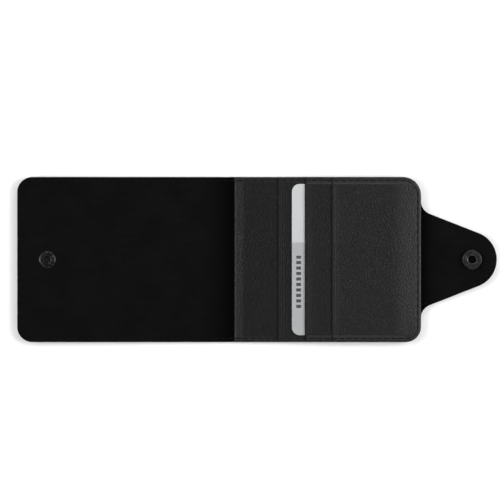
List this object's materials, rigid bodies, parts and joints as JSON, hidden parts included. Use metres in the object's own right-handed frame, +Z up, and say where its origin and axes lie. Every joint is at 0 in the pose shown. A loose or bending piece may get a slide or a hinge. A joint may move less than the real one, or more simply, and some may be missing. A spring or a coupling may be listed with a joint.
{
  "type": "card holder",
  "caption": "Folding leather card holder with stepped card pockets, a wrap-over tab that snaps shut and a card in one pocket, laid open.",
  "frame": {"origin": "middle of the opened holder, on the surface it lies on", "axes": "+X from the cover towards the closing tab, +Y across the holder, +Z up from the outer leather to the pockets"},
  "size_m": [0.2716, 0.0936, 0.0073],
  "materials": {
    "grained_leather": "black, fine pebbled grain, satin",
    "suede": "black suede, matte",
    "textile": "thin black twill, matte",
    "thread": "black twisted thread",
    "board": "grey pressed-fibre board",
    "interlining": "soft non-woven",
    "snap_metal": "black oxide, semi-gloss",
    "spring_wire": "bright wire",
    "card": "light and mid grey print, semi-gloss"
  },
  "bodies": {
    "back": {"back_outer_leather": "grained_leather", "back_stiffener_board": "board", "back_suede_lining": "suede", "pocket_base_panel": "grained_leather", "lower_pocket_leather": "grained_leather", "lower_pocket_lining": "textile", "lower_pocket_stitching": "thread", "middle_pocket_leather": "grained_leather", "middle_pocket_lining": "textile", "middle_pocket_stitching": "thread", "front_pocket_leather": "grained_leather", "front_pocket_lining": "textile", "front_pocket_stitching": "thread", "pocket_panel_stitching": "thread"},
    "spine": {"spine_outer_leather": "grained_leather", "spine_interlining": "interlining", "spine_suede_lining": "suede", "spine_stitching": "thread"},
    "cover": {"cover_outer_leather": "grained_leather", "cover_stiffener_board": "board", "cover_suede_lining": "suede", "cover_stitching": "thread", "snap_stud": "snap_metal", "snap_eyelet": "snap_metal"},
    "tab_wrap": {"tab_wrap_outer_leather": "grained_leather", "tab_wrap_interlining": "interlining", "tab_wrap_suede_lining": "suede", "tab_wrap_stitching": "thread"},
    "tab": {"tab_outer_leather": "grained_leather", "tab_stiffener": "board", "tab_suede_lining": "suede", "tab_stitching": "thread", "snap_socket": "snap_metal", "snap_spring_ring": "spring_wire", "snap_cap_post": "snap_metal", "snap_cap": "snap_metal"},
    "card": {"card": "card"}
  },
  "joints": [
    {"name": "spine_fold", "type": "hinge", "parent": "back", "child": "spine", "pos_m": [-0.01862, 0, 0.0024], "axis": [0, 1, 0], "range_deg": [0, 88.72]},
    {"name": "cover_fold", "type": "hinge", "parent": "spine", "child": "cover", "pos_m": [-0.02442, 0, 0.00253], "axis": [0, 1, 0], "range_deg": [0, 90]},
    {"name": "tab_wrap_fold", "type": "hinge", "parent": "back", "child": "tab_wrap", "pos_m": [0.09318, 0, 0.0024], "axis": [0, -1, 0], "range_deg": [0, 86.75]},
    {"name": "tab_fold", "type": "hinge", "parent": "tab_wrap", "child": "tab", "pos_m": [0.10436, 0, 0.00304], "axis": [0, -1, 0], "range_deg": [0, 90]},
    {"name": "card_slide", "type": "slide", "parent": "back", "child": "card", "axis": [-1, 0, 0], "range_m": [0, 0.037]}
  ]
}
